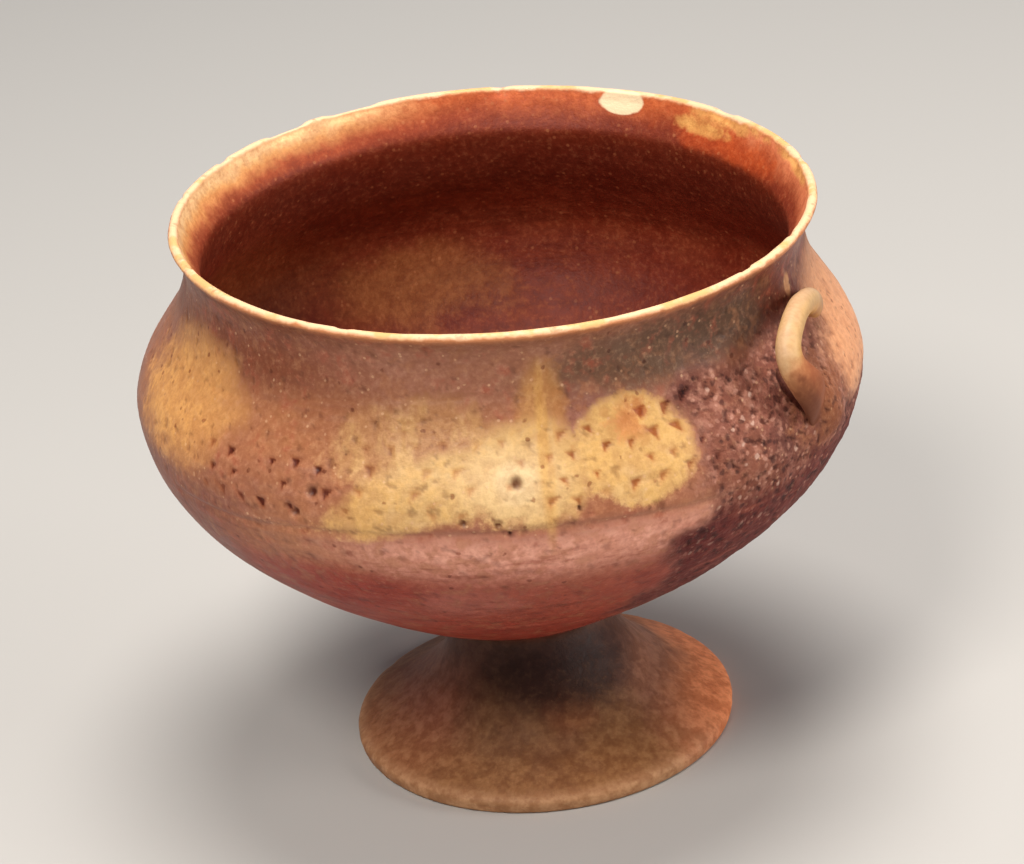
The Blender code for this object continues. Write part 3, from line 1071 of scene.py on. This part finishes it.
def rough_coats(wall, clay, rough, scattered):
    """Crumbled clay of the right shoulder, darker red low down as painted shade and a painted red
    reflection, the lit slip beyond the loop, and a painted highlight on the neck.
    """
    paint, rise, tree = wall.paint, wall.ragged_rise, wall.tree
    cloud, stain, mottle, *_ = wall.noises
    root = wall.spot(56, 12.4, 6, 1.1, 0.9)
    rough = rough * (1 - root * 0.75)
    crumbs = rise.ramp(9, 11.4) * 0.75 + 0.25
    wall.cover(clay, rough * 0.92)
    paint(100, 58, 52, rough * stain.ramp(0.42, 0.62) * 0.65)
    paint(168, 108, 82, rough * cloud.ramp(0.44, 0.6) * 0.6)
    paint(184, 128, 108, rough * mottle.ramp(0.48, 0.64) * 0.6)
    # Darker red low down: painted shade and a painted red reflection.
    paint(104, 32, 30, rough * rise.ramp(11.8, 10.2) * 0.88)
    paint(70, 34, 32, rough * flecks(tree, scattered, 400, 0.46, 0.40) * 0.65)
    paint(206, 154, 134, rough * crumbs * flecks(tree, scattered, 520, 0.46, 0.34) * 0.65)
    paint(226, 190, 172, rough * crumbs * flecks(tree, scattered, 350, 0.34, 0.10) * 0.7)
    paint(158, 96, 60, root * 0.85)
    lit = wall.spot(82, 12.9, 17, 2, 0.8)
    paint(250, 186, 138, lit * 0.9 * (1 - rough))
    paint(206, 138, 92, lit * mottle.ramp(0.5, 0.66) * (1 - rough) * 0.5)
    # Painted highlight: a small pale spot on the neck above the loop.
    paint(226, 172, 120, blot(wall.turn, wall.rise, 63.3, 15.05, 1.3, 0.32, 0.6) * 0.85)
    return rough


def skin_coats(wall, cream, rough, scattered):
    """Scraped strokes, sparse grains and fine mottling of the skin."""
    paint, darken, tree = wall.paint, wall.darken, wall.tree
    _, _, mottle, grains, *_ = wall.noises
    scraped = noise_value(tree, turned_strokes(tree, wall.place), 60, 3, 0.6)
    low = wall.ragged_rise.ramp(11.4, 10.4)
    paint(200, 112, 90, scraped.ramp(0.54, 0.7) * low * 0.3)
    darken(186, 130, 114, scraped.ramp(0.46, 0.3) * low * 0.5)
    darken(168, 122, 100, flecks(tree, scattered, 340, 0.30, 0.12) * (1 - rough) * 0.7)
    high = 1 - low * 0.75
    paint(232, 190, 150, flecks(tree, wall.place, 640, 0.34, 0.10) * high * 0.45)
    paint(224, 176, 136, grains.ramp(0.5, 0.76) * high * 0.2)
    plain = 1 - cream * 0.3
    darken(204, 178, 164, grains.ramp(0.62, 0.34) * plain * 0.35)
    darken(206, 176, 160, mottle.ramp(0.64, 0.40) * plain * 0.5)


def outside_colour(tree, colours, place, turn, rise, noises, marks):
    """Burnished outside of the bowl with its slip, stains and weathered side, and painted shade in
    its marks, pits and crease and low on the belly.
    """
    mark_and_shade, pit_and_shade, rough = marks
    wall = Wall(tree, colours.body, place, turn, rise, noises)
    ground_coats(wall)
    belly_coats(wall)
    neck_coats(wall)
    ochre_coats(wall)
    cream = cream_coats(wall, colours.cream)
    wall.paint(104, 66, 60, wall.spot(33.5, 13.3, 4, 1.5, 0.95) * 0.6)
    back_coats(wall)
    jitter = node(tree, "ShaderNodeTexNoise", {"Vector": place, "Scale": 420, "Detail": 2})
    scattered = node(tree, "ShaderNodeVectorMath",
                     {0: jitter.outputs[1], 1: (0.0018, 0.0018, 0.0018), 2: place},
                     operation="MULTIPLY_ADD").outputs[0]
    rough = rough_coats(wall, colours.rough, rough, scattered)
    skin_coats(wall, cream, rough, scattered)
    # Painted shade: darker in the pressed marks, and in the pits and the crease by the lower root.
    wall.darken(200, 134, 84, (mark_and_shade * 1.2).clamped() * 0.85)
    wall.darken(140, 90, 70, mark_and_shade.ramp(0.2, 0.9) * (1 - cream * 0.8) * 0.85)
    wall.darken(124, 80, 62, pit_and_shade)
    return wall


def foot_colour_of(tree, colours, turn, rise, noises):
    """Olive brown of the foot, paler and warmer along its rim, with a painted highlight on its
    edge, the right of the rim brightened as painted light, and painted shade and shadow under the
    bowl.
    """
    cloud, stain, mottle, grains, *_ = noises
    ragged = frayed(turn, noises, 0, 30)
    fore = abs(turn).ramp(164, 108)
    colour = Coat(tree, colours.foot)
    paint, darken = colour.paint, colour.darken
    paint(156, 110, 68, (cloud * 0.6 + stain * 0.4).ramp(0.40, 0.62) * 0.7)
    paint(108, 66, 46, stain.ramp(0.44, 0.66) * 0.6)
    paint(178, 110, 86, ragged.ramp(-26, -62) * fore * 0.7)
    paint(158, 104, 82, ragged.ramp(34, 60) * fore * 0.7)
    paint(150, 92, 56, blot(ragged, rise, 14, 2, 12, 0.5, 0.95) * 0.6)
    rim = frayed(rise, noises, 0, 0.9).ramp(1.6, 0.5)
    paint(160, 110, 66, rim * 0.6)
    # Painted highlight along the rounded edge at the bottom of the foot.
    paint(210, 162, 120, frayed(rise, noises, 0, 0, 0.3).ramp(0.66, 0.4) * 0.6)
    # The rim's orange on the right, brightened as painted light.
    paint(216, 142, 102, rim * ragged.ramp(36, 60) * fore * 0.8)
    paint(255, 158, 104, rim * ragged.ramp(48, 78) * fore * 0.95)
    # Painted shade under the bowl: darker towards the stem, and a painted shadow of the bowl on the
    # front and right.
    paint(76, 44, 34, frayed(rise, noises, 0, 1.2).ramp(1.8, 3.2) * 0.8)
    paint(44, 18, 15, blot(turn, rise, 20, 2.8, 48, 0.9, 0.95) * 0.85)
    paint(176, 132, 92, grains.ramp(0.5, 0.76) * (rise * -0.25 + 1).clamped() * 0.25)
    darken(206, 184, 166, grains.ramp(0.62, 0.34) * 0.4)
    darken(196, 170, 144, mottle.ramp(0.62, 0.38) * 0.6)
    return colour


def inside_colour(tree, colours, place, back_turn, rise, arc, noises):
    """Red-brown inside of the bowl under the orange flare of the lip; turns start at the back."""
    cloud, stain, mottle, grains, _, streak = noises
    ragged_turn = frayed(back_turn, noises, 0, 24, 8)
    ragged_rise = frayed(rise, noises, 0, 1.6, 0.7)
    ragged_arc = frayed(arc, noises, 0, 9, 4)
    spot = partial(blot, ragged_turn, ragged_rise)
    colour = Coat(tree, colours.inside)
    paint, darken = colour.paint, colour.darken
    paint(150, 70, 40, (cloud * 0.55 + stain * 0.45).ramp(0.40, 0.62) * 0.75)
    paint(110, 40, 22, streak.ramp(0.46, 0.66) * 0.5)
    paint(104, 34, 18, blot(ragged_arc, back_turn, 21, -6, 15, 74, 0.8) * 0.6)
    paint(176, 112, 62, spot(14, 10.2, 15, 1.1, 0.9) * 0.6)
    paint(168, 100, 54, spot(58, 11.4, 26, 1.8, 0.9) * 0.5)
    paint(136, 52, 34, spot(-34, 9.6, 28, 1.4, 0.9) * 0.4)
    paint(144, 58, 28, ragged_arc.ramp(24, 7) * 0.8)
    colour.cover(colours.flare, ragged_arc.ramp(11.5, 1.5) * 0.95)
    leftwards = blot(ragged_turn, rise, 84, 16, 62, 9, 0.6)
    paint(240, 152, 98, ragged_arc.ramp(14, 3) * leftwards * 0.8)
    paint(166, 70, 34, blot(ragged_turn, ragged_arc, 30, 9, 26, 3.6, 0.9) * 0.65)
    paint(248, 190, 116, ragged_arc.ramp(10.5, 4.5) * leftwards * 0.85)
    paint(252, 214, 160, ragged_arc.ramp(7, 3) * leftwards * 0.75)
    rightwards = blot(ragged_turn, rise, -84, 16, 30, 9, 0.7)
    paint(250, 158, 112, ragged_arc.ramp(11, 2) * rightwards * 0.75)
    paint(204, 86, 34, blot(ragged_turn, ragged_arc, -58, 9.5, 17, 4, 0.9) * 0.65)
    for oval in ((-55, 2.8, 8, 2.4), (-47, 7, 6, 2.4), (-81, 2.4, 10, 2.2)):
        worn = blot(ragged_turn, frayed(arc, noises, 0, 0, 5), *oval, 0.9)
        paint(244, 188, 106, worn * 0.75)
    paint(206, 134, 88, flecks(tree, place, 520, 0.36, 0.12) * 0.35)
    paint(200, 128, 84, grains.ramp(0.5, 0.74) * 0.2)
    darken(204, 172, 158, grains.ramp(0.62, 0.34) * 0.4)
    darken(206, 176, 160, mottle.ramp(0.62, 0.38) * 0.5)
    return colour


def body_finish(colours):
    """Burnished and stained clay of the bowl and the foot."""
    material = new_finish("stained_clay")
    tree = material.node_tree
    place, turn, rise = cup_coordinates(tree)
    # The mark and pit shares bring painted shade into the colour.
    arc, mark_and_shade, pit_and_shade, rough = kept_numbers(tree, "arc", "mark_and_shade", "pit_and_shade", "rough")
    noises = surface_noises(tree, place)
    noises.append(noise_value(tree, stretched(tree, place, 8), 34, 4, 0.6))
    _, stain, mottle, grains, dust, streak = noises
    inner = arc.ramp(0.4, 3)
    foot = rise.ramp(4.6, 3.6)
    colour = outside_colour(tree, colours, place, turn, rise, noises, (mark_and_shade, pit_and_shade, rough))
    colour.cover(foot_colour_of(tree, colours, turn, rise, noises), foot)
    back_turn = turn - turn.math("SIGN") * 180
    worn = abs(frayed(arc + 0.1, noises, 0, 3, 2.6))
    colour.paint(206, 132, 84, worn.ramp(5, 2.2) * 0.8)
    colour.cover(inside_colour(tree, colours, place, back_turn, rise, arc, noises), inner)
    crest = worn.ramp(2.5, 1)
    colour.cover(colours.lip, crest)
    colour.paint(220, 166, 84, crest * stain.ramp(0.5, 0.62) * 0.65)
    colour.paint(184, 120, 86, crest * mottle.ramp(0.58, 0.7) * 0.5)
    chip = blot(frayed(turn, noises, 0, 0, 1.6), rise, FLARE_CHIP[0], 16.22, 4.7, 0.34, 0.15)
    colour.paint(244, 222, 180, chip * arc.ramp(-0.6, 0.2) * 0.9)

    roughness = frayed(0.46 + rough * 0.3 + foot * 0.16 + inner * 0.12, noises, 0, 0.3, 0, 0.25)
    relief = mottle * 0.5 + grains * 0.35 + dust * 0.18 + streak * 0.25 + rough * grains * 1.2
    principled(tree, colour.socket, roughness.clamped(), relief, 0.0004)
    return material


def handle_finish(colours):
    """Pale worn slip of the loops, browner towards their lower roots, with painted shade on the
    side away from the front and a painted shadow beside the lower root.
    """
    material = new_finish("handle_slip")
    tree = material.node_tree
    place = node(tree, "ShaderNodeTexCoord").outputs["Object"]
    along, edge = kept_numbers(tree, "along", "edge")
    noises = surface_noises(tree, place)
    _, stain, mottle, grains, dust = noises
    ragged = frayed(along, noises, 0, 0.22, 0.08)
    lower = ragged - edge * 0.05
    colour = Coat(tree, colours.handle)
    paint = colour.paint
    outer = frayed(edge, noises, 0, 1.2)
    # Painted shade: darker ochre on the side of the band turned away from the front.
    paint(208, 152, 74, outer.ramp(0.5, -0.3) * 0.8)
    paint(204, 166, 130, outer.ramp(0.45, 0.95) * 0.7)
    paint(196, 148, 90, stain.ramp(0.5, 0.64) * 0.4)
    paint(190, 124, 80, lower.ramp(0.55, 0.64) * 0.9)
    paint(150, 84, 52, lower.ramp(0.59, 0.70) * 0.95)
    # Painted shadow beside the lower root, on its front side.
    shaded = ragged.ramp(0.63, 0.71) * ragged.ramp(0.97, 0.86) * edge.ramp(-0.2, 0.6)
    paint(92, 46, 28, shaded * 0.7)
    paint(176, 118, 80, ragged.ramp(0.13, 0.05) * 0.8)
    colour.darken(214, 190, 168, grains.ramp(0.62, 0.34) * 0.3)
    relief = mottle * 0.5 + grains * 0.35 + dust * 0.2
    roughness = frayed(0.46 + lower.ramp(0.52, 0.66) * 0.34, noises, 0, 0.3)
    principled(tree, colour.socket, roughness.clamped(), relief, 0.00014)
    return material


def length_property(name, description, default, low, high):
    return FloatProperty(name=name, description=description, default=default, min=low, max=high,
                         unit="LENGTH")


class ShapeSettings(bpy.types.PropertyGroup):
    """Sizes of the cup's lean and of the marks pressed into its shoulder"""

    lean: length_property("Lean", "How far the bowl's foot sits off its axis", LEAN, 0.0, 0.02)
    mark_depth: length_property("Mark depth", "Depth of the pressed marks", 0.0007, 0.0, 0.002)
    mark_size: length_property("Mark size", "Width of one pressed mark", 0.0022, 0.001, 0.006)
    mark_gap: FloatProperty(name="Mark gap", description="Degrees from one mark to the next",
                            default=4.5, min=2.0, max=12.0)
    row_gap: length_property("Row gap", "Height from row to row", 0.0050, 0.002, 0.01)
    first_row: length_property("First row", "Height of the lowest row", 0.1211, 0.10, 0.14)


def colour_property(name, description, red, green, blue):
    return FloatVectorProperty(name=name, description=description, subtype="COLOR", size=3,
                               min=0.0, max=1.0, default=pigment(red, green, blue))


class ColourSettings(bpy.types.PropertyGroup):
    """Colours of the clay, its slip and its stains"""

    body: colour_property("Body", "Burnished outside of the bowl", 166, 106, 82)
    cream: colour_property("Cream slip", "Worn pale patch on the front", 228, 190, 126)
    rough: colour_property("Rough side", "Weathered right shoulder", 146, 90, 78)
    foot: colour_property("Foot", "Olive brown of the foot", 126, 86, 56)
    inside: colour_property("Inside", "Dark red-brown of the bowl's inside", 130, 50, 28)
    flare: colour_property("Flare", "Orange-brown inside of the lip", 220, 112, 60)
    lip: colour_property("Lip", "Worn edge of the lip", 252, 202, 158)
    handle: colour_property("Handle", "Pale slip of the loops", 212, 170, 116)


def shape_values(settings):
    return {"Lean": settings.lean}


class CUP_OT_body(bpy.types.Operator):
    """Make the bowl and foot with their dents, scored lines and pressed marks"""

    bl_idname = "cup.body"
    bl_label = "Bowl and foot"

    def execute(self, context):
        settings = context.scene.cup_shape
        tree = pressed_clay_tree(settings, body_finish(context.scene.cup_colours))
        through_tree("cup_body", clay_sheet(), tree, shape_values(settings),
                     ("turn", "reach", "rise", "out_reach", "out_rise", "sink"))
        return {"FINISHED"}


class CUP_OT_handles(bpy.types.Operator):
    """Make the two loop handles on the shoulder"""

    bl_idname = "cup.handles"
    bl_label = "Loop handles"

    def execute(self, context):
        settings = context.scene.cup_shape
        tree = loop_handle_tree(settings, handle_finish(context.scene.cup_colours))
        for name, turn in zip(("cup_handle_front", "cup_handle_back"), HANDLE_TURNS):
            angle = math.radians(turn)
            values = shape_values(settings)
            values["Outwards"] = (math.sin(angle), -math.cos(angle), 0.0)
            through_tree(name, handle_path(turn), tree, values, ("wide", "deep"))
        return {"FINISHED"}


def aimed(thing, place, target):
    thing.location = place
    thing.rotation_euler = (Vector(target) - Vector(place)).to_track_quat("-Z", "Y").to_euler()


def lay_floor(scene):
    mesh = bpy.data.meshes.new("floor")
    corners = [(x * FLOOR_HALF, y * FLOOR_HALF, 0.0)
               for x, y in ((-1, -1), (1, -1), (1, 1), (-1, 1))]
    mesh.from_pydata(corners, [], [(0, 1, 2, 3)])
    paint = bpy.data.materials.new("pale_floor")
    paint.use_nodes = True
    shader = paint.node_tree.nodes["Principled BSDF"]
    shader.inputs["Base Color"].default_value = FLOOR_COLOUR
    shader.inputs["Roughness"].default_value = 0.8
    mesh.materials.append(paint)
    floor = bpy.data.objects.new("floor", mesh)
    scene.collection.objects.link(floor)


def hang_lights(scene):
    scene.world = bpy.data.worlds.new("studio")
    scene.world.use_nodes = True
    sky = scene.world.node_tree.nodes["Background"]
    sky.inputs["Color"].default_value = SKY_COLOUR
    sky.inputs["Strength"].default_value = SKY_STRENGTH
    for name, place, size, power, tint in LIGHTS:
        lamp = bpy.data.lights.new(name, "AREA")
        lamp.shape = "DISK"
        lamp.size = size
        lamp.energy = power
        lamp.color = tint
        hung = bpy.data.objects.new(name, lamp)
        scene.collection.objects.link(hung)
        aimed(hung, place, LIGHT_AIM)


def place_camera(scene):
    lens = bpy.data.cameras.new("camera")
    lens.sensor_width = SENSOR_WIDTH
    lens.lens = SENSOR_WIDTH * FOCAL_PIXELS / IMAGE_WIDTH
    lens.clip_start = 0.05
    yaw, pitch, roll = (
        math.radians(turn) for turn in (CAMERA_YAW, CAMERA_PITCH, CAMERA_ROLL)
    )
    forward = Vector((math.sin(yaw) * math.cos(pitch), math.cos(yaw) * math.cos(pitch),
                      -math.sin(pitch)))
    level = Vector((math.cos(yaw), -math.sin(yaw), 0.0))
    upright = level.cross(forward)
    right = level * math.cos(roll) + upright * math.sin(roll)
    up = upright * math.cos(roll) - level * math.sin(roll)
    turned = Matrix((right, up, -forward)).transposed()
    camera = bpy.data.objects.new("camera", lens)
    camera.matrix_world = Matrix.Translation(CAMERA_PLACE) @ turned.to_4x4()
    scene.collection.objects.link(camera)
    scene.camera = camera


class CUP_OT_stage(bpy.types.Operator):
    """Lay the pale floor, hang the soft lights and set up the camera"""

    bl_idname = "cup.stage"
    bl_label = "Floor, light and camera"

    def execute(self, context):
        lay_floor(context.scene)
        hang_lights(context.scene)
        place_camera(context.scene)
        context.scene.view_settings.view_transform = "Standard"
        return {"FINISHED"}


class CUP_PT_panel(bpy.types.Panel):
    """Sizes, colours and steps of the cup"""

    bl_label = "Footed cup"
    bl_idname = "CUP_PT_panel"
    bl_space_type = "VIEW_3D"
    bl_region_type = "UI"
    bl_category = "Cup"

    def draw(self, context):
        for settings in (context.scene.cup_shape, context.scene.cup_colours):
            box = self.layout.box()
            for name in settings.__annotations__:
                box.prop(settings, name)
        for operator in (CUP_OT_body, CUP_OT_handles, CUP_OT_stage):
            self.layout.operator(operator.bl_idname)


CLASSES = (ShapeSettings, ColourSettings, CUP_OT_body, CUP_OT_handles, CUP_OT_stage, CUP_PT_panel)


def register():
    for made in CLASSES:
        bpy.utils.register_class(made)
    bpy.types.Scene.cup_shape = PointerProperty(type=ShapeSettings)
    bpy.types.Scene.cup_colours = PointerProperty(type=ColourSettings)


def unregister():
    del bpy.types.Scene.cup_colours
    del bpy.types.Scene.cup_shape
    for made in reversed(CLASSES):
        bpy.utils.unregister_class(made)


def main():
    register()
    bpy.ops.cup.body()
    bpy.ops.cup.handles()
    bpy.ops.cup.stage()


if __name__ == "__main__":
    main()
